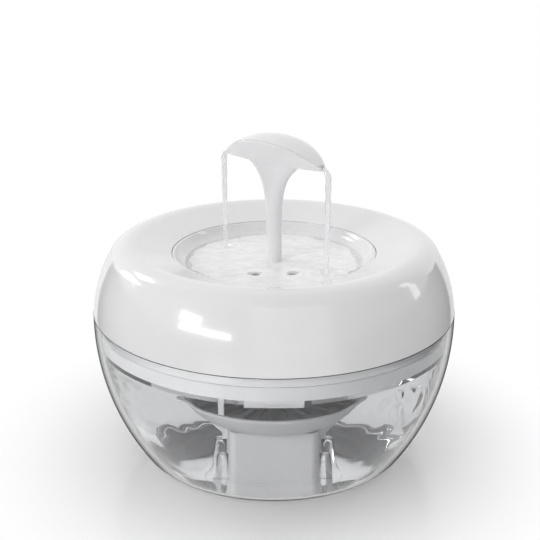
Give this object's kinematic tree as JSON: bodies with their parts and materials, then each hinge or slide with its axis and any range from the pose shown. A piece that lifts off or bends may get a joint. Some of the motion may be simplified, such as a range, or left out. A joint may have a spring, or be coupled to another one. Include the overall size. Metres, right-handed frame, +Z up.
{
  "type": "pet water fountain",
  "caption": "Free-standing pet drinking fountain with a clear bowl, a white ring-shaped cover, a dished tray, an arched leaf spout and a submersible pump.",
  "frame": {"origin": "centre of the bowl's foot ring, on the surface that the fountain stands on", "axes": "+Z up along the bowl's axis, -Y to the front of the picture, +X to its right"},
  "size_m": [0.192, 0.192, 0.1707],
  "materials": {
    "clear_plastic": "clear polished",
    "white_gloss": "polished",
    "white_inner": "satin",
    "dark_plastic": "satin",
    "silicone": "matte",
    "foam": "open foam",
    "steel": "brushed",
    "copper": "enamelled wire",
    "magnet": "sintered"
  },
  "bodies": {
    "tank": {"tank_bowl": "clear_plastic", "riser_tube": "white_inner", "pump_box": "white_inner", "pump_casing": "dark_plastic", "pump_cover": "dark_plastic", "impeller_shaft": "steel", "shaft_bushes": "silicone", "stator_shell": "steel", "coil": "copper", "potting_cap": "dark_plastic", "suction_cups": "silicone", "pump_sponge": "foam", "cable_gland": "silicone", "filter_dish": "white_inner"},
    "cover": {"top_cover": "white_gloss", "collar_ring": "white_inner", "collar_clip": "dark_plastic"},
    "tray": {"drinking_tray": "white_gloss"},
    "sleeve": {"spout_connector": "silicone"},
    "spout": {"spout_stem": "white_gloss", "spout_leaf": "white_gloss"},
    "filter": {"filter_pad": "foam", "filter_lid": "dark_plastic"},
    "rotor": {"impeller": "white_inner", "rotor_magnet": "magnet"}
  },
  "joints": [
    {"name": "cover_lift", "type": "slide", "parent": "tank", "child": "cover", "axis": [0, 0, 1], "range_m": [0, 0.12]},
    {"name": "tray_lift", "type": "slide", "parent": "cover", "child": "tray", "axis": [0, 0, 1], "range_m": [0, 0.06]},
    {"name": "spout_pull", "type": "slide", "parent": "tray", "child": "sleeve", "axis": [0, 0, 1], "range_m": [0, 0.05]},
    {"name": "spout_turn", "type": "hinge", "parent": "sleeve", "child": "spout", "pos_m": [0, 0, 0.1], "axis": [0, 0, 1], "continuous": true},
    {"name": "filter_lift", "type": "slide", "parent": "tank", "child": "filter", "axis": [0, 0, 1], "range_m": [0, 0.046]},
    {"name": "impeller_spin", "type": "hinge", "parent": "tank", "child": "rotor", "pos_m": [0, 0, 0.0148], "axis": [0, 1, 0], "continuous": true}
  ]
}
